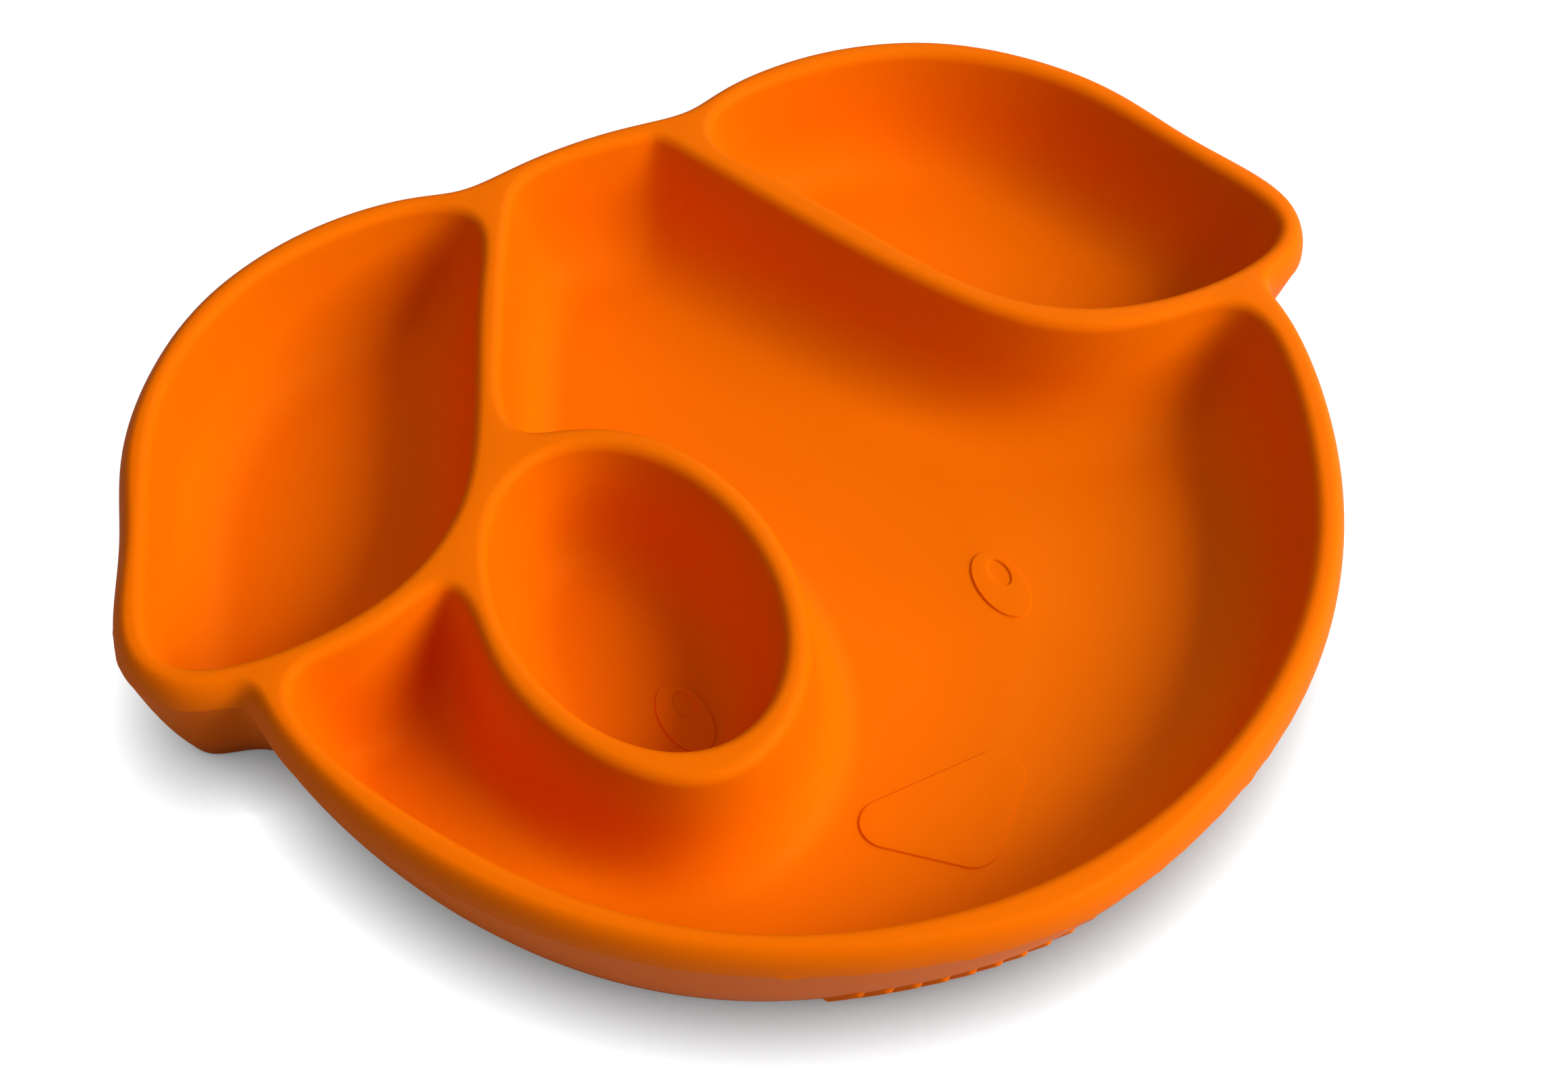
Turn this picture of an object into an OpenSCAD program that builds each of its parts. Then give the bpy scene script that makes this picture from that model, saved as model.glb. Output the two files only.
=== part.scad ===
// Divided suction plate for a toddler, shaped as a floppy-eared puppy's face.
// Millimetres. +Z is up, +Y is towards the top of the head, the eye bowl is on the -X side.
// The origin is on the table, under the middle of the plate.

/* [Plate] */

// Height of the rim above the table
rim_height = 35; // [33:0.5:38]
// Height of the bowl floors above the table
floor_height = 7.75; // [7.5:0.25:10]
// Gap under the plate's bottom edge while the suction cups are relaxed
edge_gap = 1; // [0.6:0.1:1.4]
// Thickness of the bowl floors
floor_thickness = 3; // [2.5:0.25:3.5]

/* [Rim] */

// How far in from the outer wall the rim's rounding starts
outer_edge_width = 3.2; // [2.4:0.2:3.2]
// How far down the outer wall the rim's rounding reaches
outer_edge_drop = 6; // [3:0.5:8]
// Radius of the rim's edge around each bowl
inner_edge_radius = 2.4; // [1.5:0.3:2.4]

/* [Eye bowl] */

// Half width of the eye bowl
eye_bowl_half_width = 24.25; // [23:0.25:24.25]
// Half length of the eye bowl
eye_bowl_half_length = 35.25; // [34:0.25:35.25]

/* [Face relief] */

// Distance between the middles of the two eyes
eye_spacing = 69; // [66:0.5:72]
// Height of the eyes and nose above the floor
relief_height = 0.6; // [0.4:0.1:1]

/* [Suction cups] */

// Outer radius of a suction cup's lip
cup_radius = 19; // [16:0.5:20]
// Radius of a suction cup's stem
stem_radius = 4; // [3:0.25:4.5]

/* [Hidden] */

silicone_orange = [1.0, 0.45, 0.0];
cup_orange = [0.95, 0.42, 0.05];

// Right half of the plate's outline from the chin to the top of the head.
// Each point holds x, y and how far the wall's bottom edge stands in from it.
half_outline = [
  [0, -102.8, 12.5], [26, -97.8, 11], [54.5, -86.3, 9.5], [79.5, -67.3, 9.5], [97.5, -42.3, 9.5],
  [107, -18, 9.5], [109.5, -4, 9.5], [109, 2.5, 9], [111.5, 4, 8.5], [121.5, 6.5, 8.5],
  [128, 17.5, 8.5], [125.5, 29.5, 9], [117, 45.5, 9.5], [112, 63.5, 9.5], [100.5, 80, 9],
  [83, 95, 9], [58.5, 102.5, 9], [36.5, 101.5, 9], [27, 97.5, 9], [19.5, 98.2, 9],
  [10, 99.7, 9], [0, 100.1, 9]
];

// Right ear bowl. Each point holds the rim's x and y, then the floor's x and y.
ear_bowl_outline = [
  [24.5, 87, 45.5, 78.5], [32.5, 73.5, 48, 73], [40.5, 57.5, 54, 61.5], [48.5, 39.5, 60.5, 46.5],
  [58, 23, 68.5, 33], [73.5, 12, 78.5, 25.5], [91.5, 8, 90.5, 22.5], [108.5, 8.5, 99, 22.5],
  [120, 13, 103.5, 24], [121, 23, 103.5, 28.5], [114, 38.5, 100, 35.5], [108, 54, 95, 49],
  [101, 69.5, 89.5, 61.5], [89, 82.5, 80, 71.5], [71.5, 93, 67, 79], [50.5, 96, 54.5, 81],
  [32.5, 95, 48, 81.5]
];

// Face bowl, which runs round the eye bowl. Same columns.
face_bowl_outline = [
  [13, 92.5, 3.5, 77.5], [0.5, 94.5, 0, 78], [-13, 93.5, -6, 80], [-17.5, 89.5, -9, 77],
  [-24.5, 77, -16, 68.5], [-33, 60, -22, 57], [-42, 42.5, -27.5, 46.5], [-42, 33.5, -28.5, 41],
  [-32.5, 32, -21.5, 39.5], [-19.5, 25, -9.5, 30], [-10, 7.5, 1, 10.5], [-8, -12, 3.5, -12],
  [-12, -29, -1, -33], [-20, -42.5, -12.5, -51.5], [-34, -52.5, -31, -64], [-50, -51, -56, -62],
  [-62.5, -35.5, -72, -42.5], [-69.5, -15, -78, -21], [-66.5, 0.5, -76, -9], [-67.5, 9.5, -76.5, -5],
  [-76.5, 6.2, -80.5, -5], [-88, 3.2, -86, -6], [-98.5, 3.7, -90.5, -7], [-103.8, -1.8, -92, -11],
  [-101.5, -15.5, -89, -18], [-94, -32, -82, -30.5], [-82, -52.5, -71.5, -47], [-64.2, -72.5, -54.5, -64.5],
  [-37, -88.3, -26, -76.5], [0, -95.7, 2, -78], [36.5, -88, 29.5, -72], [63, -73, 51.5, -61],
  [81.5, -54.5, 67.5, -45.5], [93.5, -33.5, 77, -30.5], [100.5, -15.5, 82, -19], [102.5, -3, 83, -14],
  [97.5, 3, 80.5, -11.5], [86, 3.5, 75.5, -11], [71.5, 6, 62, -7], [57.5, 15.5, 45.5, 5],
  [46.5, 31.5, 33, 23], [37, 48.5, 23.5, 40], [28.5, 66.5, 15.5, 57], [20, 84.5, 9, 70.5],
  [16.5, 92.5, 6.5, 75.5]
];

// Middle of the eye bowl
eye_bowl_middle = [-38.5, -8.75];
// How far the eye bowl's wall runs in from its rim to its floor, and about how far in the others
eye_bowl_run = 13;
bowl_run = 14;

// Share of the outer wall's lean that is straight; the rest curves in towards the table
lean_straight = 0.75;

// Curve steps between two outline points
outline_steps = 3;
bowl_steps = 3;
eye_bowl_points = 40;

// Steps of the rim's rounding, of the outer wall below it and of the floor's sweep
rim_steps = 3;
wall_steps = 4;
sweep_steps = 4;

// Lean of the bowl walls from upright, in degrees
wall_draft = 10;
// Height of the sweep between wall and floor
sweep_height = 14;
// How square the sweep is: 0 is a straight bevel, 1 a sharp corner
sweep_fullness = 0.6;

// The eyes' height on the face, their half size, and the pupil's place and half size in each
eye_y = -22;
eye_half = [4.8, 8.3];
pupil_shift = [1.1, 2.5];
pupil_half = [1.8, 3.2];

// The nose's middle, and the circles at its three corners
nose_y = -64.3;
nose_half_width = 11.8;
nose_length = 10.6;
nose_corner = 5.2;

// The row of slanted ridges low on the front wall
mark_count = 15;
mark_pitch = 5;
mark_radius = 1.1;
mark_slant = 1.6;
mark_low = 3.5;
mark_high = 8;
// The ridges are on the wall where y is below this
mark_side = -60;

// Skirt that the plate stands in when its suction cups are flat
skirt_thickness = 4.5;
skirt_lean = 1;

// Middles of the four suction cups, and their stems' sockets
cup_spots = [[-50, -46], [50, -46], [-78, 42], [78, 42]];

stem_clearance = 0.1;
socket_wall = 2.5;
socket_roof = 1.2;
boss_drop = 1.6;
boss_root = 1;
cup_hub_radius = 7;
cup_shoulder = 1;
cup_lip_land = 1.5;
cup_lip_edge = 0.5;
cup_wall = 1.4;
cup_joint_gap = 0.1;
stem_end_gap = 1.5;

// How far a cutter reaches past the face it cuts, and a relief's root into the floor
over = 2;
relief_root = 1;

// ---- Curves ----

// One point of a closed cubic spline: the fraction t of the span after point i
function spline_point(c, i, t) =
  let (n = len(c), u = 1 - t)
  (u * u * u * c[(i + n - 1) % n]
    + (3 * t * t * t - 6 * t * t + 4) * c[i]
    + (3 * u * u * u - 6 * u * u + 4) * c[(i + 1) % n]
    + t * t * t * c[(i + 2) % n]) / 6;

function spline(c, steps) =
  [for (i = [0 : len(c) - 1], k = [0 : steps - 1]) spline_point(c, i, k / steps)];

// The half outline with its mirror image, anticlockwise
function whole(half) =
  concat(half, [for (i = [len(half) - 2 : -1 : 1]) [-half[i].x, half[i].y, half[i].z]]);

// Columns k and k + 1 of a list of points
function pair(c, k) = [for (p = c) [p[k], p[k + 1]]];

// The curve moved outward by a distance that each of its points may hold
function grown(c, by) =
  let (n = len(c))
  [for (i = [0 : n - 1])
    let (v = c[(i + 1) % n] - c[(i + n - 1) % n], d = is_list(by) ? by[i] : by)
    c[i] + d * [v.y, -v.x] / norm(v)];

function blended(a, b, s) = [for (i = [0 : len(a) - 1]) (1 - s) * a[i] + s * b[i]];

function at_height(c, z) = [for (p = c) [p.x, p.y, z]];

function oval(half, points) =
  [for (i = [0 : points - 1]) [half.x * cos(360 * i / points), half.y * sin(360 * i / points)]];

// Solid through matched rings, from the lowest to the highest
module loft(rings) {
  m = len(rings[0]);
  last = len(rings) - 1;
  polyhedron(
    points = [for (r = rings) each r],
    faces = concat(
      [[for (j = [0 : m - 1]) j]],
      [[for (j = [m - 1 : -1 : 0]) last * m + j]],
      [for (k = [0 : last - 1], j = [0 : m - 1], half = [0, 1])
        let (a = k * m + j, b = k * m + (j + 1) % m)
        half == 0 ? [a, a + m, b + m] : [a, b + m, b]]),
    convexity = 10);
}

// ---- Plate ----

outline = spline(whole(half_outline), outline_steps);
outline_xy = pair(outline, 0);
outline_lean = [for (p = outline) -p.z];

// Share of the lean that the outer wall has at height z
wall_top = rim_height - outer_edge_drop;
function lean_share(z) =
  let (t = (wall_top - z) / (wall_top - edge_gap))
  lean_straight * t + (1 - lean_straight) * t * t * t;

function wall_at(z) = grown(outline_xy, lean_share(z) * outline_lean);

// Outer wall: curves in towards the table, and rounds over into the rim's flat top
module outer_solid() {
  wall_rings = [for (k = [0 : wall_steps - 1])
    let (z = edge_gap + (wall_top - edge_gap) * k / wall_steps)
    at_height(wall_at(z), z)];
  arc_rings = [for (k = [0 : rim_steps])
    let (a = 90 * k / rim_steps)
    at_height(grown(outline_xy, -outer_edge_width * (1 - cos(a))),
      rim_height - outer_edge_drop * (1 - sin(a)))];
  loft(concat(wall_rings, arc_rings));
}

// Sideways share and height of the sweep from wall to floor, at fraction t
function sweep_at(t, wall_share) =
  let (u = 1 - t,
    share = 3 * u * u * t * (wall_share + sweep_fullness * wall_share * sweep_height / wall_height)
      + 3 * u * t * t * (1 - (1 - wall_share) * sweep_fullness) + t * t * t + u * u * u * wall_share,
    rise = u * u * u + 3 * u * u * t * (1 - sweep_fullness))
  [share, floor_height + sweep_height * rise];

wall_height = rim_height - inner_edge_radius - floor_height - sweep_height;

// The hollow of a bowl: rim and floor are matched outlines, run is the distance between them
module bowl(rim, floor, run) {
  wall_share = wall_height * tan(wall_draft) / run;
  sweep = [for (k = [sweep_steps : -1 : 0])
    let (s = sweep_at(k / sweep_steps, wall_share))
    at_height(blended(rim, floor, s[0]), s[1])];
  arc_rings = [for (k = [0 : rim_steps])
    let (a = 90 * k / rim_steps)
    at_height(grown(rim, inner_edge_radius * (1 - cos(a))),
      rim_height - inner_edge_radius * (1 - sin(a)))];
  lid = [for (p = arc_rings[rim_steps]) p + [0, 0, over]];
  loft(concat(sweep, arc_rings, [lid]));
}

module ear_bowl() {
  c = spline(ear_bowl_outline, bowl_steps);
  bowl(pair(c, 0), pair(c, 2), bowl_run);
}

module face_bowl() {
  c = spline(face_bowl_outline, bowl_steps);
  bowl(pair(c, 0), pair(c, 2), bowl_run);
}

module eye_bowl() {
  half = [eye_bowl_half_width, eye_bowl_half_length];
  inner = half - eye_bowl_run * [1, 1];
  translate(eye_bowl_middle)
    bowl(oval(half, eye_bowl_points), oval(inner, eye_bowl_points), eye_bowl_run);
}

// Hollow under the floors, inside the skirt that meets the table
module underside() {
  foot = grown(outline_xy, [for (l = outline_lean) l - skirt_thickness]);
  roof = grown(outline_xy, [for (l = outline_lean) l - skirt_thickness - skirt_lean]);
  loft([at_height(foot, edge_gap - over), at_height(roof, floor_height - floor_thickness)]);
}

// One raised eye with its sunken pupil
module eye_relief() {
  difference() {
    translate([0, 0, floor_height - relief_root])
      linear_extrude(relief_root + relief_height)
        scale([eye_half.x, eye_half.y]) circle(r = 1, $fn = 40);
    translate([pupil_shift.x, pupil_shift.y, floor_height])
      linear_extrude(relief_height + over)
        scale([pupil_half.x, pupil_half.y]) circle(r = 1, $fn = 28);
  }
}

// The nose: a raised triangle with round corners, broad side up
module nose_relief() {
  translate([0, nose_y, floor_height - relief_root])
    linear_extrude(relief_root + relief_height)
      hull() {
        for (side = [-1, 1])
          translate([side * nose_half_width, nose_length / 2])
            circle(r = nose_corner, $fn = 32);
        translate([0, -nose_length / 2])
          circle(r = nose_corner, $fn = 32);
      }
}

// A row of short slanted ridges low on the front wall
module front_marks() {
  for (i = [0 : mark_count - 1]) {
    x = (i - (mark_count - 1) / 2) * mark_pitch;
    hull() {
      translate(mark_point(x - mark_slant, mark_low)) sphere(r = mark_radius, $fn = 10);
      translate(mark_point(x + mark_slant, mark_high)) sphere(r = mark_radius, $fn = 10);
    }
  }
}

// Point on the outer wall near the chin, at a given x and height
function mark_point(x, z) =
  let (wall = wall_at(z),
    n = len(wall),
    i = [for (k = [0 : n - 1])
      let (p = wall[k], q = wall[(k + 1) % n])
      if (p.y < mark_side && p.x <= x && q.x > x) k][0],
    p = wall[i],
    q = wall[(i + 1) % n],
    s = (x - p.x) / (q.x - p.x))
  [x, (1 - s) * p.y + s * q.y, z];

module sockets() {
  for (spot = cup_spots)
    translate([spot.x, spot.y, 0])
      cylinder(r = stem_radius + stem_clearance, h = floor_height - socket_roof, $fn = 48);
}

module socket_bosses() {
  for (spot = cup_spots)
    translate([spot.x, spot.y, floor_height - floor_thickness - boss_drop])
      cylinder(r = stem_radius + socket_wall, h = boss_drop + boss_root, $fn = 48);
}

module plate_body() {
  color(silicone_orange)
    difference() {
      union() {
        difference() {
          union() {
            outer_solid();
            front_marks();
          }
          ear_bowl();
          mirror([1, 0, 0]) ear_bowl();
          face_bowl();
          eye_bowl();
          underside();
        }
        for (side = [-1, 1]) translate([side * eye_spacing / 2, eye_y, 0]) eye_relief();
        nose_relief();
        socket_bosses();
      }
      sockets();
    }
}

// ---- Suction cups ----

module suction_cup(spot) {
  top = floor_height - floor_thickness - boss_drop - cup_joint_gap;
  stem_top = floor_height - socket_roof - stem_end_gap;
  color(cup_orange)
    translate([spot.x, spot.y, 0])
      rotate_extrude($fn = 72)
        polygon([
          [0, top - cup_wall],
          [cup_hub_radius, top - cup_wall],
          [cup_radius - cup_lip_land, 0],
          [cup_radius, 0],
          [cup_radius, cup_lip_edge],
          [cup_hub_radius + cup_shoulder, top],
          [stem_radius, top],
          [stem_radius, stem_top],
          [0, stem_top]
        ]);
}

plate_body();
suction_cup(cup_spots[0]);  // cup_front_left
suction_cup(cup_spots[1]);  // cup_front_right
suction_cup(cup_spots[2]);  // cup_back_left
suction_cup(cup_spots[3]);  // cup_back_right
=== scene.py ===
"""Divided silicone suction plate, shaped as a floppy-eared puppy's face.

Lengths in this script are millimetres in the part's own frame, and turn into metres when a mesh
is made: +Z is up, +Y towards the top of the head, and the eye bowl is on the -X side.
"""

import math

import bmesh
import bpy
import numpy as np
from mathutils import Matrix, Vector
from mathutils.bvhtree import BVHTree
from mathutils.geometry import delaunay_2d_cdt


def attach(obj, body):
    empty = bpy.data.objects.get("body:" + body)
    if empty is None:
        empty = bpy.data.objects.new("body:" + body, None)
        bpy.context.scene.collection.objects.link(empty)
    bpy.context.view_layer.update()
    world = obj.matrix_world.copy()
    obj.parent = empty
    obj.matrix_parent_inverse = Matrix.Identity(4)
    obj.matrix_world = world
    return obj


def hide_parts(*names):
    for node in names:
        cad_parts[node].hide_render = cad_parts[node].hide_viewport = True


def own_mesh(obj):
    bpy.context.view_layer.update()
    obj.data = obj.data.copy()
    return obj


MM = 0.001

# ---------------------------------------------------------------- sizes

RIM_HEIGHT = 35.0
FLOOR_HEIGHT = 7.75
EDGE_GAP = 1.0
FLOOR_THICKNESS = 3.0
OUTER_WIDTH = 3.2
OUTER_DROP = 6.0
INNER_RADIUS = 2.4
LEAN_STRAIGHT = 0.75
# Parting line: its height, how far above and below it the flash reaches, its least push and how
# much more it may have.
PARTING = 28.85
PARTING_REACH = 0.35
FLASH_LEAST = 0.07
FLASH_SPREAD = 0.10
WALL_DRAFT = 10.0
SWEEP_HEIGHT = 14.0
SWEEP_FULLNESS = 0.6
SKIRT = 4.5
# The visual outline stands this far inside the CAD one, whose straight chords are coarser.
CHORD_INSET = 0.2

# Right half of the plate's outline from the chin to the top of the head: x, y and how far the
# wall's bottom edge stands in from it.
HALF_OUTLINE = [
    (0, -102.8, 12.5), (26, -97.8, 11), (54.5, -86.3, 9.5), (79.5, -67.3, 9.5), (97.5, -42.3, 9.5),
    (107, -18, 9.5), (109.5, -4, 9.5), (109, 2.5, 9), (111.5, 4, 8.5), (121.5, 6.5, 8.5),
    (128, 17.5, 8.5), (125.5, 29.5, 9), (117, 45.5, 9.5), (112, 63.5, 9.5), (100.5, 80, 9),
    (83, 95, 9), (58.5, 102.5, 9), (36.5, 101.5, 9), (27, 97.5, 9), (19.5, 98.2, 9),
    (10, 99.7, 9), (0, 100.1, 9),
]

# Right ear bowl: the rim's x and y, then the floor's x and y.
EAR_BOWL = [
    (24.5, 87, 45.5, 78.5), (32.5, 73.5, 48, 73), (40.5, 57.5, 54, 61.5), (48.5, 39.5, 60.5, 46.5),
    (58, 23, 68.5, 33), (73.5, 12, 78.5, 25.5), (91.5, 8, 90.5, 22.5), (108.5, 8.5, 99, 22.5),
    (120, 13, 103.5, 24), (121, 23, 103.5, 28.5), (114, 38.5, 100, 35.5), (108, 54, 95, 49),
    (101, 69.5, 89.5, 61.5), (89, 82.5, 80, 71.5), (71.5, 93, 67, 79), (50.5, 96, 54.5, 81),
    (32.5, 95, 48, 81.5),
]

# Face bowl, which runs round the eye bowl.
FACE_BOWL = [
    (13, 92.5, 3.5, 77.5), (0.5, 94.5, 0, 78), (-13, 93.5, -6, 80), (-17.5, 89.5, -9, 77),
    (-24.5, 77, -16, 68.5), (-33, 60, -22, 57), (-42, 42.5, -27.5, 46.5), (-42, 33.5, -28.5, 41),
    (-32.5, 32, -21.5, 39.5), (-19.5, 25, -9.5, 30), (-10, 7.5, 1, 10.5), (-8, -12, 3.5, -12),
    (-12, -29, -1, -33), (-20, -42.5, -12.5, -51.5), (-34, -52.5, -31, -64), (-50, -51, -56, -62),
    (-62.5, -35.5, -72, -42.5), (-69.5, -15, -78, -21), (-66.5, 0.5, -76, -9),
    (-67.5, 9.5, -76.5, -5),
    (-76.5, 6.2, -80.5, -5), (-88, 3.2, -86, -6), (-98.5, 3.7, -90.5, -7), (-103.8, -1.8, -92, -11),
    (-101.5, -15.5, -89, -18), (-94, -32, -82, -30.5), (-82, -52.5, -71.5, -47),
    (-64.2, -72.5, -54.5, -64.5),
    (-37, -88.3, -26, -76.5), (0, -95.7, 2, -78), (36.5, -88, 29.5, -72), (63, -73, 51.5, -61),
    (81.5, -54.5, 67.5, -45.5), (93.5, -33.5, 77, -30.5), (100.5, -15.5, 82, -19),
    (102.5, -3, 83, -14),
    (97.5, 3, 80.5, -11.5), (86, 3.5, 75.5, -11), (71.5, 6, 62, -7), (57.5, 15.5, 45.5, 5),
    (46.5, 31.5, 33, 23), (37, 48.5, 23.5, 40), (28.5, 66.5, 15.5, 57), (20, 84.5, 9, 70.5),
    (16.5, 92.5, 6.5, 75.5),
]

EYE_BOWL_MIDDLE = (-38.5, -8.75)
EYE_BOWL_HALF = (24.25, 35.25)
EYE_BOWL_RUN = 13.0

EYES = [(-34.5, -22.0), (34.5, -22.0)]
EYE_HALF = (4.8, 8.3)
PUPIL_SHIFT = (1.1, 2.5)
PUPIL_HALF = (1.9, 3.3)
NOSE_CIRCLES = [(-11.8, -59.0, 5.2), (0.0, -69.6, 5.2), (11.8, -59.0, 5.2)]
RELIEF = 0.45
PUPIL_DEPTH = 0.38
# Rings of points this far inside a relief's edge keep its top even.
RELIEF_INSETS = (2.5, 4.5)
PUPIL_CLEARANCE = 0.7
# The sweep's own points keep this far from a relief's edge.
RELIEF_CLEARANCE = 0.8

MARK_COUNT = 15
MARK_PITCH = 5.0
MARK_SLANT = 1.6
MARK_LOW = 3.5
MARK_HIGH = 8.0
MARK_RADIUS = 1.15
MARK_PROUD = 0.85
# The ridges are on the wall where y is below this.
MARK_SIDE = -60
# Above and below the ridges, the heights where the wall can be pushed out.
MARK_REACH = 3

CUPS = {
    "front_left": (-50, -46),
    "front_right": (50, -46),
    "back_left": (-78, 42),
    "back_right": (78, 42),
}
CUP_RADIUS = 19.0
CUP_TOP = 3.05
STEM_RADIUS = 4.0
STEM_TOP = 5.05
SOCKET_RADIUS = 4.1
SOCKET_TOP = 6.55
BOSS_RADIUS = 6.5
BOSS_BOTTOM = 3.15

# ---------------------------------------------------------------- curves


def spline(points, steps):
    """Closed cubic spline through the list's control points. steps is one number or one a span."""
    c = np.array(points, float)
    n = len(c)
    counts = [steps] * n if isinstance(steps, int) else steps
    out = []
    for i in range(n):
        a, b, d, e = c[i - 1], c[i], c[(i + 1) % n], c[(i + 2) % n]
        for k in range(counts[i]):
            t = k / counts[i]
            u = 1 - t
            out.append(
                (
                    u**3 * a
                    + (3 * t**3 - 6 * t**2 + 4) * b
                    + (3 * u**3 - 6 * u**2 + 4) * d
                    + t**3 * e
                )
                / 6
            )
    return np.array(out)


def normals(curve):
    """Outward normals of an anticlockwise closed curve."""
    v = np.roll(curve, -1, 0) - np.roll(curve, 1, 0)
    v = np.stack([v[:, 1], -v[:, 0]], 1)
    return v / np.linalg.norm(v, axis=1)[:, None]


def grown(curve, by):
    """The curve moved outward by one distance, or by one for each of its points."""
    return curve + normals(curve) * np.reshape(by, (-1, 1))


def at(curve, z):
    """A ring in space from a flat curve, at one height or one for each point."""
    return np.column_stack([curve, np.broadcast_to(np.asarray(z, float), len(curve))])


def oval(middle, half, count):
    a = np.arange(count) * 2 * math.pi / count
    return np.stack([middle[0] + half[0] * np.cos(a), middle[1] + half[1] * np.sin(a)], 1)


def inside(points, loop):
    """Which points lie inside a closed loop."""
    x, y = points[:, 0], points[:, 1]
    hit = np.zeros(len(points), bool)
    for (ax, ay), (bx, by) in zip(loop, np.roll(loop, -1, 0)):
        if ay == by:
            continue
        cross = (ay > y) != (by > y)
        hit ^= cross & (x < (bx - ax) * (y - ay) / (by - ay) + ax)
    return hit


def distance_to(points, loop):
    """Distance from each point to a closed loop."""
    a = loop
    b = np.roll(loop, -1, 0)
    d = b - a
    best = np.full(len(points), 1e9)
    for k in range(len(a)):
        t = np.clip(((points - a[k]) @ d[k]) / max(d[k] @ d[k], 1e-12), 0, 1)
        gap = points - (a[k] + t[:, None] * d[k])
        best = np.minimum(best, np.hypot(gap[:, 0], gap[:, 1]))
    return best


def smooth(t):
    t = np.clip(t, 0, 1)
    return t * t * (3 - 2 * t)


# ---------------------------------------------------------------- mesh building


class Shell:
    """Points and faces of one closed mesh, in millimetres."""

    def __init__(self):
        self.points = np.zeros((0, 3))
        self.faces = []

    def add(self, points):
        start = len(self.points)
        self.points = np.vstack([self.points, points])
        return np.arange(start, start + len(points))

    def band(self, low, high):
        """Quads between two rings of the same length."""
        n = len(low)
        for j in range(n):
            k = (j + 1) % n
            self.faces.append((low[j], low[k], high[k], high[j]))

    def loft(self, rings, first=None):
        """Rings joined one after another. Returns the indices of each ring."""
        ids = [first] if first is not None else []
        for ring in rings:
            ids.append(self.add(ring))
        for a, b in zip(ids, ids[1:]):
            self.band(a, b)
        return ids

    def fill(self, loops, extra=None, lines=()):
        """Triangles between the first loop and the ones inside it. Loops are index arrays.
        extra are further points inside, and lines are closed index loops kept as edges."""
        ids = np.concatenate([*loops, *([] if extra is None else [extra])])
        where = {int(v): k for k, v in enumerate(ids)}
        edges = []
        for loop in [*loops, *lines]:
            n = len(loop)
            edges += [(where[int(loop[j])], where[int(loop[(j + 1) % n])]) for j in range(n)]
        flat = self.points[ids][:, :2]
        made = delaunay_2d_cdt([Vector(p) for p in flat], edges, [], 0, 1e-6)
        source = [o[0] if len(o) else -1 for o in made[3]]
        tris = np.array([t for t in made[2]])
        centre = np.array([[sum(made[0][v][a] for v in t) / 3 for a in (0, 1)] for t in tris])
        keep = inside(centre, flat[[where[int(v)] for v in loops[0]]])
        for loop in loops[1:]:
            keep &= ~inside(centre, flat[[where[int(v)] for v in loop]])
        for t in tris[keep]:
            if min(source[v] for v in t) < 0:
                raise ValueError("a fill made a point of its own")
            self.faces.append(tuple(int(ids[source[v]]) for v in t))

    def object(self, name, material, smooth_angle=35):
        me = bpy.data.meshes.new(name)
        faces = [tuple(int(v) for v in f) for f in self.faces]
        me.from_pydata((self.points * MM).tolist(), [], faces)
        me.validate()
        bm = bmesh.new()
        bm.from_mesh(me)
        bmesh.ops.recalc_face_normals(bm, faces=bm.faces)
        for e in bm.edges:
            e.smooth = len(e.link_faces) == 2 and e.calc_face_angle(0) < math.radians(smooth_angle)
        for f in bm.faces:
            f.smooth = True
        bm.to_mesh(me)
        bm.free()
        me.materials.append(material)
        ob = bpy.data.objects.new(name, me)
        bpy.context.scene.collection.objects.link(ob)
        return ob


# ---------------------------------------------------------------- plate

ARC_STEPS = 7
SWEEP_STEPS = 18
OUTLINE_STEPS = 9
CHIN_STEPS = 60
BOWL_STEPS = 10
EYE_BOWL_STEPS = 144
# How many of the eye bowl's lowest rings are laid in its floor, with the eye.
EYE_BOWL_LOW_RINGS = 10
BOWL_RUN = 14.0
# Radius of the wall's bottom edge
FOOT_RADIUS = 0.9
FOOT_STEPS = 3
WALL_HEIGHT = RIM_HEIGHT - INNER_RADIUS - FLOOR_HEIGHT - SWEEP_HEIGHT


def sweep_at(t, wall_share):
    """Sideways share and height of the sweep from wall to floor."""
    u = 1 - t
    share = (
        u**3 * wall_share
        + 3 * u * u * t * (wall_share + SWEEP_FULLNESS * wall_share * SWEEP_HEIGHT / WALL_HEIGHT)
        + 3 * u * t * t * (1 - (1 - wall_share) * SWEEP_FULLNESS)
        + t**3
    )
    rise = u**3 + 3 * u * u * t * (1 - SWEEP_FULLNESS)
    return share, FLOOR_HEIGHT + SWEEP_HEIGHT * rise


def bowl_rings(rim, floor, run):
    """Rings of a bowl from the rim's flat top down to the floor's edge."""
    wall_share = WALL_HEIGHT * math.tan(math.radians(WALL_DRAFT)) / run
    rings = []
    for k in range(ARC_STEPS + 1):
        a = math.radians(90 - (90 - WALL_DRAFT) * k / ARC_STEPS)
        out = INNER_RADIUS * (1 - math.cos(a))
        rings.append(at(grown(rim, out), RIM_HEIGHT - INNER_RADIUS * (1 - math.sin(a))))
    for z in (0.3, 0.6, 0.85):
        s = z * wall_share
        rings.append(at(rim * (1 - s) + floor * s, RIM_HEIGHT - INNER_RADIUS - z * WALL_HEIGHT))
    for k in range(SWEEP_STEPS + 1):
        s, z = sweep_at(k / SWEEP_STEPS, wall_share)
        rings.append(at(rim * (1 - s) + floor * s, z))
    return rings


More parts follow.
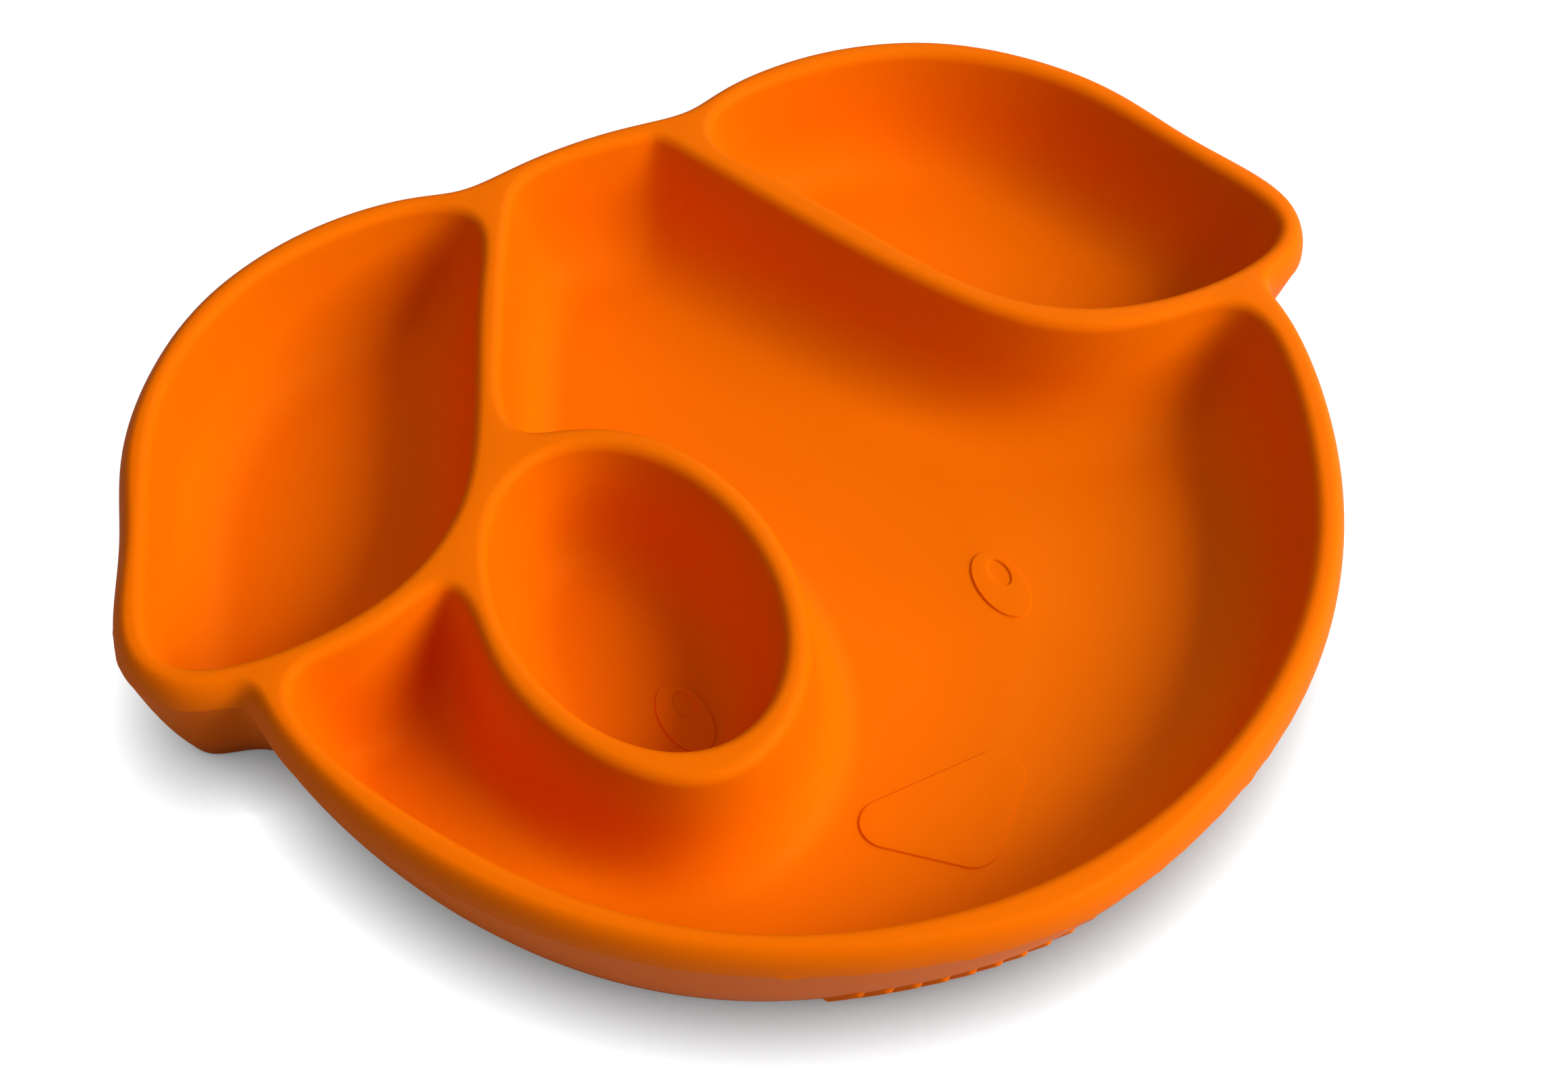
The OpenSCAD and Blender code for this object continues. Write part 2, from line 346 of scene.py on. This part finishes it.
def lean_share(z):
    """Share of the lean that the outer wall has at a height."""
    top = RIM_HEIGHT - OUTER_DROP
    t = (top - z) / (top - EDGE_GAP)
    return LEAN_STRAIGHT * t + (1 - LEAN_STRAIGHT) * t**3


def outer_rings(outline, lean):
    """Rings of the outer wall from the rim's flat top down to the skirt's inner roof."""
    rings = []
    for k in range(2 * ARC_STEPS + 1):
        a = math.radians(90 - 90 * k / (2 * ARC_STEPS))
        inset = -OUTER_WIDTH * (1 - math.cos(a))
        rings.append(at(grown(outline, inset), RIM_HEIGHT - OUTER_DROP * (1 - math.sin(a))))
    # close together at the parting line and down the ridges
    heights = [28.85, 28.6, 28.3, 27.5, 26.5, 24, 21, 18, 15, 12.5, 10.5]
    heights += list(np.arange(9.6, 2.2, -0.42)) + [2.0]
    for z in heights:
        rings.append(at(grown(outline, -lean * lean_share(z)), z))
    edge = FOOT_RADIUS
    for k in range(FOOT_STEPS + 1):
        a = math.radians(90 * k / FOOT_STEPS)
        foot = lean * lean_share(EDGE_GAP + edge)
        inset = -foot - edge * (1 - math.cos(a))
        rings.append(at(grown(outline, inset), EDGE_GAP + edge * (1 - math.sin(a))))
    roof = FLOOR_HEIGHT - FLOOR_THICKNESS
    rings.append(at(grown(outline, -lean - SKIRT + edge), EDGE_GAP))
    rings.append(at(grown(outline, -lean - SKIRT), EDGE_GAP + edge))
    rings.append(at(grown(outline, -lean - SKIRT - 0.3), roof - 0.6))
    rings.append(at(grown(outline, -lean - SKIRT - 0.5), roof))
    return rings


def mark_lines():
    """Low and high ends of the slanted ridges on the front wall, as x and height."""
    out = []
    for i in range(MARK_COUNT):
        x = (i - (MARK_COUNT - 1) / 2) * MARK_PITCH
        out.append(((x - MARK_SLANT, MARK_LOW), (x + MARK_SLANT, MARK_HIGH)))
    return out


def wall_relief(rings, outline):
    """Parting line and the raised ridges, pushed out along the wall's normal."""
    out_dir = normals(outline)
    rng = np.random.default_rng(7)
    n = len(outline)
    wave = np.zeros(n)
    arc = np.concatenate([[0], np.cumsum(np.hypot(*np.diff(outline, axis=0).T))])
    for _ in range(30):
        wave += np.sin(arc * rng.uniform(0.05, 1.2) + rng.uniform(0, 6.28)) / 30**0.5
    flash = FLASH_LEAST + FLASH_SPREAD * np.clip(wave, 0, 2)
    for ring in rings:
        z = ring[0, 2]
        if abs(z - PARTING) < PARTING_REACH:
            push = flash * smooth(1 - abs(z - PARTING) / PARTING_REACH)
            ring[:, :2] += out_dir * push[:, None]
        if MARK_LOW - MARK_REACH < z < MARK_HIGH + MARK_REACH:
            front = outline[:, 1] < MARK_SIDE
            best = np.full(n, 1e9)
            p = np.stack([ring[:, 0], np.full(n, z)], 1)
            for a, b in mark_lines():
                a, b = np.array(a), np.array(b)
                d = b - a
                t = np.clip(((p - a) @ d) / (d @ d), 0, 1)
                best = np.minimum(best, np.linalg.norm(p - (a + t[:, None] * d), axis=1))
            push = np.where(front, MARK_PROUD * smooth((MARK_RADIUS + 0.35 - best) / 0.9), 0)
            ring[:, :2] += out_dir * push[:, None]


def nose_outline():
    """Rounded triangle through three circles, anticlockwise."""
    out = []
    n = len(NOSE_CIRCLES)
    for i, (x, y, r) in enumerate(NOSE_CIRCLES):
        px, py, _ = NOSE_CIRCLES[i - 1]
        qx, qy, _ = NOSE_CIRCLES[(i + 1) % n]
        a0 = math.atan2(-(x - px), y - py)
        a1 = math.atan2(-(qx - x), qy - y)
        while a1 < a0:
            a1 += 2 * math.pi
        for k in range(15):
            a = a0 + (a1 - a0) * k / 14
            out.append((x + r * math.cos(a), y + r * math.sin(a)))
        ex, ey = out[-1]
        sx, sy = qx + r * math.cos(a1), qy + r * math.sin(a1)
        for k in range(1, 20):
            out.append((ex + (sx - ex) * k / 20, ey + (sy - ey) * k / 20))
    return np.array(out)


def step_rings(loop, low, high):
    """Offsets and heights of a small rounded step at a loop, outward to inward."""
    rise = high - low
    return [
        (0.32, low),
        (0.14, low + 0.06 * rise),
        (0.04, low + 0.3 * rise),
        (-0.04, low + 0.7 * rise),
        (-0.14, low + 0.94 * rise),
        (-0.32, high),
    ]


def reliefs():
    """Each relief: its outline, and its heights above the floor outside and inside it."""
    out = []
    for x, y in EYES:
        out.append((oval((x, y), EYE_HALF, 72), 0, RELIEF))
        pupil = (x + PUPIL_SHIFT[0], y + PUPIL_SHIFT[1])
        out.append((oval(pupil, PUPIL_HALF, 40), RELIEF, RELIEF - PUPIL_DEPTH))
    out.append((nose_outline(), 0, RELIEF))
    return out


def relief_points(boundary, base):
    """Rings of points for the reliefs that lie inside a boundary, on the base surface."""
    points, loops = [], []
    sunken = [loop for loop, low, high in reliefs() if high < low]
    for loop, low, high in reliefs():
        if not inside(loop[:1], boundary)[0]:
            continue
        for offset, height in step_rings(loop, low, high):
            ring = grown(loop, offset)
            z = np.array([base(p) for p in ring]) + height
            loops.append((len(points), len(ring)))
            points += [(*p, h) for p, h in zip(ring, z)]
        if high < low:
            middle = loop.mean(0)
            for share in (0.3, 0.6):
                ring = middle + (loop - middle) * share
                points += [(*p, base(p) + high) for p in ring[::2]]
        else:
            for inset in RELIEF_INSETS:
                ring = grown(loop, -inset)
                if np.min(np.hypot(*(ring - ring.mean(0)).T)) > 1.5:
                    for hole in sunken:
                        away = distance_to(ring, hole)
                        ring = ring[~inside(ring, hole) & (away > PUPIL_CLEARANCE)]
                    points += [(*p, base(p) + high) for p in ring]
    return np.array(points), loops


def plate(material):
    shell = Shell()
    half = np.array(HALF_OUTLINE, float)
    whole = np.vstack([half, [(-x, y, l) for x, y, l in HALF_OUTLINE[-2:0:-1]]])
    n = len(whole)
    steps = [OUTLINE_STEPS] * n
    for i in (0, 1, n - 2, n - 1):
        steps[i] = CHIN_STEPS
    line = spline(whole, steps)
    outline, lean = grown(line[:, :2], -CHORD_INSET), line[:, 2]
    rings = outer_rings(outline, lean)
    wall_relief(rings, outline)
    outer = shell.loft(rings)

    holes = []
    bowls = []
    for control, mirror in ((EAR_BOWL, 1), (EAR_BOWL, -1), (FACE_BOWL, 1)):
        c = np.array(control, float)
        if mirror < 0:
            c = c[::-1] * (-1, 1, -1, 1)
        c = spline(c, BOWL_STEPS)
        bowls.append((c[:, :2], c[:, 2:], BOWL_RUN))
    eye_rim = oval(EYE_BOWL_MIDDLE, EYE_BOWL_HALF, EYE_BOWL_STEPS)
    eye_floor = oval(EYE_BOWL_MIDDLE, [h - EYE_BOWL_RUN for h in EYE_BOWL_HALF], EYE_BOWL_STEPS)
    bowls.append((eye_rim, eye_floor, EYE_BOWL_RUN))

    for rim, floor, run in bowls:
        made = bowl_rings(rim, floor, run)
        cut = len(made) - (EYE_BOWL_LOW_RINGS if run == EYE_BOWL_RUN else 1)
        ids = shell.loft(made[: cut + 1])
        holes.append(ids[0])
        boundary = made[cut][:, :2]
        fill_floor(shell, ids[-1], boundary, made[cut + 1 :])
    shell.fill([outer[0], *holes])
    underside(shell, outer[-1])
    ob = shell.object("silicone_plate", material)
    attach(ob, "plate")
    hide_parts("plate_body")
    return ob


def fill_floor(shell, edge, boundary, lower):
    """The floor inside an edge ring, with the lower sweep rings and the reliefs in it."""
    grid = np.vstack(lower) if len(lower) else np.zeros((0, 3))
    if len(lower):
        rows = [shell.points[edge], *lower]
        verts = [Vector(p) for r in rows for p in r]
        n = len(edge)
        faces = []
        for k in range(len(rows) - 1):
            for j in range(n):
                i = (j + 1) % n
                faces.append((k * n + j, k * n + i, (k + 1) * n + i, (k + 1) * n + j))
        faces.append(tuple(range((len(rows) - 1) * n, len(rows) * n)))
        tree = BVHTree.FromPolygons(verts, faces)

        def base(p):
            hit = tree.ray_cast(Vector((p[0], p[1], 100)), Vector((0, 0, -1)))
            return hit[0].z if hit[0] else FLOOR_HEIGHT
    else:

        def base(p):
            return FLOOR_HEIGHT

    points, loops = relief_points(boundary, base)
    if len(points) and len(grid):
        for loop, low, high in reliefs():
            if high > low and inside(loop[:1], boundary)[0]:
                away = distance_to(grid[:, :2], loop)
                grid = grid[~inside(grid[:, :2], loop) & (away > RELIEF_CLEARANCE)]
    if not len(points) and not len(grid):
        shell.fill([edge])
        return
    ids = shell.add(np.vstack([p for p in (grid, points) if len(p)]))
    start = len(grid)
    lines = [ids[start + a : start + a + n] for a, n in loops]
    shell.fill([edge], extra=ids, lines=lines)


def underside(shell, edge):
    """Flat underside with four socket bosses."""
    roof = FLOOR_HEIGHT - FLOOR_THICKNESS
    holes = []
    for x, y in CUPS.values():
        profile = [
            (BOSS_RADIUS + 0.9, roof),
            (BOSS_RADIUS + 0.3, roof - 0.25),
            (BOSS_RADIUS, roof - 0.8),
            (BOSS_RADIUS, BOSS_BOTTOM + 0.3),
            (BOSS_RADIUS - 0.3, BOSS_BOTTOM),
            (SOCKET_RADIUS + 0.2, BOSS_BOTTOM),
            (SOCKET_RADIUS, BOSS_BOTTOM + 0.2),
            (SOCKET_RADIUS, SOCKET_TOP),
        ]
        ids = shell.loft([at(oval((x, y), (r, r), 64), z) for r, z in profile])
        holes.append(ids[0])
        shell.fill([ids[-1]])
    shell.fill([edge, *holes])


# ---------------------------------------------------------------- suction cups


def suction_cup(name, material):
    """Soft dome with a stem, turned about its own axis."""
    x, y = CUPS[name]
    profile = [
        (STEM_RADIUS - 0.5, STEM_TOP),
        (STEM_RADIUS, STEM_TOP - 0.4),
        (STEM_RADIUS, CUP_TOP + 0.05),
        (STEM_RADIUS + 0.1, CUP_TOP),
        (7.0, CUP_TOP),
        (8.0, CUP_TOP - 0.02),
        (9.2, CUP_TOP - 0.18),
        (11, CUP_TOP - 0.6),
        (13, CUP_TOP - 1.12),
        (15, CUP_TOP - 1.64),
        (17, CUP_TOP - 2.1),
        (18.3, CUP_TOP - 2.42),
        (18.9, 0.42),
        (CUP_RADIUS, 0.2),
        (18.9, 0.05),
        (18.6, 0.0),
        (17.7, 0.0),
        (17.4, 0.08),
        (15.5, 0.38),
        (13, 0.8),
        (11, 1.15),
        (9, 1.45),
        (7.2, 1.62),
        (5, 1.65),
        (2, 1.65),
    ]
    shell = Shell()
    ids = shell.loft([at(oval((x, y), (r, r), 96), z) for r, z in profile])
    shell.fill([ids[0]])
    shell.fill([ids[-1]])
    ob = shell.object("suction_cup_" + name, material, smooth_angle=50)
    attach(ob, name + "_cup")
    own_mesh(ob)
    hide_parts("cup_" + name)
    return ob


# ---------------------------------------------------------------- materials


def silicone(name, colour, deep):
    """Matte moulded silicone: fine mould grain, slight colour drift and a soft sheen."""
    m = bpy.data.materials.new(name)
    m.use_nodes = True
    nt = m.node_tree
    bsdf = nt.nodes["Principled BSDF"]
    coords = nt.nodes.new("ShaderNodeTexCoord")

    drift = nt.nodes.new("ShaderNodeTexNoise")
    drift.inputs["Scale"].default_value = 9
    drift.inputs["Detail"].default_value = 3
    nt.links.new(coords.outputs["Object"], drift.inputs["Vector"])
    ramp = nt.nodes.new("ShaderNodeValToRGB")
    ramp.color_ramp.elements[0].position = 0.3
    ramp.color_ramp.elements[0].color = (*deep, 1)
    ramp.color_ramp.elements[1].position = 0.7
    ramp.color_ramp.elements[1].color = (*colour, 1)
    nt.links.new(drift.outputs["Fac"], ramp.inputs["Fac"])
    nt.links.new(ramp.outputs["Color"], bsdf.inputs["Base Color"])

    rough = nt.nodes.new("ShaderNodeTexNoise")
    rough.inputs["Scale"].default_value = 60
    rough.inputs["Detail"].default_value = 4
    nt.links.new(coords.outputs["Object"], rough.inputs["Vector"])
    spread = nt.nodes.new("ShaderNodeMapRange")
    spread.inputs["To Min"].default_value = 0.46
    spread.inputs["To Max"].default_value = 0.58
    nt.links.new(rough.outputs["Fac"], spread.inputs["Value"])
    nt.links.new(spread.outputs["Result"], bsdf.inputs["Roughness"])

    grain = nt.nodes.new("ShaderNodeTexNoise")
    grain.inputs["Scale"].default_value = 1400
    grain.inputs["Detail"].default_value = 2
    nt.links.new(coords.outputs["Object"], grain.inputs["Vector"])
    bump = nt.nodes.new("ShaderNodeBump")
    bump.inputs["Strength"].default_value = 0.12
    bump.inputs["Distance"].default_value = 0.0002
    nt.links.new(grain.outputs["Fac"], bump.inputs["Height"])
    nt.links.new(bump.outputs["Normal"], bsdf.inputs["Normal"])

    bsdf.inputs["Specular IOR Level"].default_value = 0.07
    bsdf.inputs["Specular Tint"].default_value = (1, 0.6, 0.1, 1)
    bsdf.inputs["Subsurface Weight"].default_value = 0.1
    bsdf.inputs["Subsurface Radius"].default_value = (1.0, 0.25, 0.05)
    bsdf.inputs["Subsurface Scale"].default_value = 0.004
    return m


def floor_material():
    """White paper: it bounces like pale card. To the camera it is painted light, emitting pure
    white, with a painted contact shadow from ambient occlusion close to the plate.
    """
    m = bpy.data.materials.new("studio_floor")
    m.use_nodes = True
    nt = m.node_tree
    bsdf = nt.nodes["Principled BSDF"]
    bsdf.inputs["Roughness"].default_value = 0.9
    bsdf.inputs["Specular IOR Level"].default_value = 0.0
    # The paper's own colour is dimmed for camera rays, so painted emission, not the lamps, makes it
    # look white.
    path = nt.nodes.new("ShaderNodeLightPath")
    paper = nt.nodes.new("ShaderNodeMapRange")
    paper.inputs["To Min"].default_value = 0.55
    paper.inputs["To Max"].default_value = 0.1
    nt.links.new(path.outputs["Is Camera Ray"], paper.inputs["Value"])
    nt.links.new(paper.outputs["Result"], bsdf.inputs["Base Color"])
    # Painted contact shadow: ambient occlusion within 13 mm of the plate darkens the floor's
    # painted emission.
    painted_contact_shadow = nt.nodes.new("ShaderNodeAmbientOcclusion")
    painted_contact_shadow.samples = 12
    painted_contact_shadow.inputs["Distance"].default_value = 0.013
    # Deepens the painted contact shadow.
    deep = nt.nodes.new("ShaderNodeMath")
    deep.operation = "POWER"
    deep.inputs[1].default_value = 1.3
    nt.links.new(painted_contact_shadow.outputs["AO"], deep.inputs[0])
    # Painted light: the floor emits white to camera rays only, darkened by the painted contact
    # shadow.
    painted_glow = nt.nodes.new("ShaderNodeMath")
    painted_glow.operation = "MULTIPLY"
    nt.links.new(path.outputs["Is Camera Ray"], painted_glow.inputs[0])
    nt.links.new(deep.outputs["Value"], painted_glow.inputs[1])
    bsdf.inputs["Emission Color"].default_value = (1, 1, 1, 1)
    nt.links.new(painted_glow.outputs["Value"], bsdf.inputs["Emission Strength"])
    return m


# ---------------------------------------------------------------- studio


def camera():
    """The photograph's viewpoint: high, from the front and a little to the left."""
    azimuth, elevation, roll = (math.radians(a) for a in (-31.26, 53.63, 3.97))
    target = Vector((4.70, 11.48, 0.85)) * MM
    distance = 558.3 * MM
    back = Vector(
        (
            math.sin(azimuth) * math.cos(elevation),
            -math.cos(azimuth) * math.cos(elevation),
            math.sin(elevation),
        )
    )
    right = Vector((0, 0, 1)).cross(back).normalized()
    up = back.cross(right)
    x = math.cos(roll) * right + math.sin(roll) * up
    y = -math.sin(roll) * right + math.cos(roll) * up
    data = bpy.data.cameras.new("camera")
    data.lens = 64.11
    data.sensor_width = 36
    data.clip_start = 0.01
    data.clip_end = 20
    ob = bpy.data.objects.new("camera", data)
    bpy.context.scene.collection.objects.link(ob)
    rotation = Matrix((x, y, back)).transposed().to_4x4()
    ob.matrix_world = Matrix.Translation(target + back * distance) @ rotation
    bpy.context.scene.camera = ob
    return ob


def area_light(name, place, target, size, power, colour=(1, 1, 1)):
    data = bpy.data.lights.new(name, "AREA")
    data.shape = "RECTANGLE"
    data.size, data.size_y = size
    data.energy = power
    data.color = colour
    ob = bpy.data.objects.new(name, data)
    bpy.context.scene.collection.objects.link(ob)
    ob.location = place
    ob.rotation_euler = (Vector(target) - Vector(place)).to_track_quat("-Z", "Y").to_euler()
    return ob


# Half the studio floor's side, in metres
FLOOR_HALF = 3.0


def studio():
    me = bpy.data.meshes.new("floor")
    s = FLOOR_HALF
    me.from_pydata([(-s, -s, 0), (s, -s, 0), (s, s, 0), (-s, s, 0)], [], [(0, 1, 2, 3)])
    me.materials.append(floor_material())
    floor = bpy.data.objects.new("floor", me)
    bpy.context.scene.collection.objects.link(floor)

    area_light("key", (0.95, -0.85, 1.0), (0, 0, 0), (1.0, 1.0), 39)
    area_light("side", (1.2, 0.75, 0.95), (0, 0, 0), (0.8, 0.8), 6.5)
    area_light("fill", (-1.3, -0.2, 0.9), (0, 0, 0), (1.0, 1.0), 3)
    area_light("overhead", (0.2, 0.2, 1.5), (0, 0, 0), (1.2, 1.2), 4)

    world = bpy.data.worlds.new("studio_world")
    world.use_nodes = True
    background = world.node_tree.nodes["Background"]
    background.inputs["Color"].default_value = (1, 1, 1, 1)
    background.inputs["Strength"].default_value = 0.09
    bpy.context.scene.world = world
    bpy.context.scene.view_settings.view_transform = "Standard"


# ---------------------------------------------------------------- scene

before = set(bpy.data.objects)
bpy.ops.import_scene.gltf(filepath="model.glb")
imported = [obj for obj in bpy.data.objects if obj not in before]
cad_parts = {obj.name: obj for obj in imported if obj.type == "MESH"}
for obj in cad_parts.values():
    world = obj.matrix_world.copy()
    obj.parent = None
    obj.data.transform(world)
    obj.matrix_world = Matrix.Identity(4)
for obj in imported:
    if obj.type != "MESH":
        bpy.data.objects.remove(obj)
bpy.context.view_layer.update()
camera()
plate_silicone = silicone("plate_silicone", (0.74, 0.132, 0.0), (0.72, 0.126, 0.0))
cup_silicone = silicone("cup_silicone", (0.75, 0.14, 0.002), (0.72, 0.13, 0.002))
plate(plate_silicone)
for cup in CUPS:
    suction_cup(cup, cup_silicone)
studio()
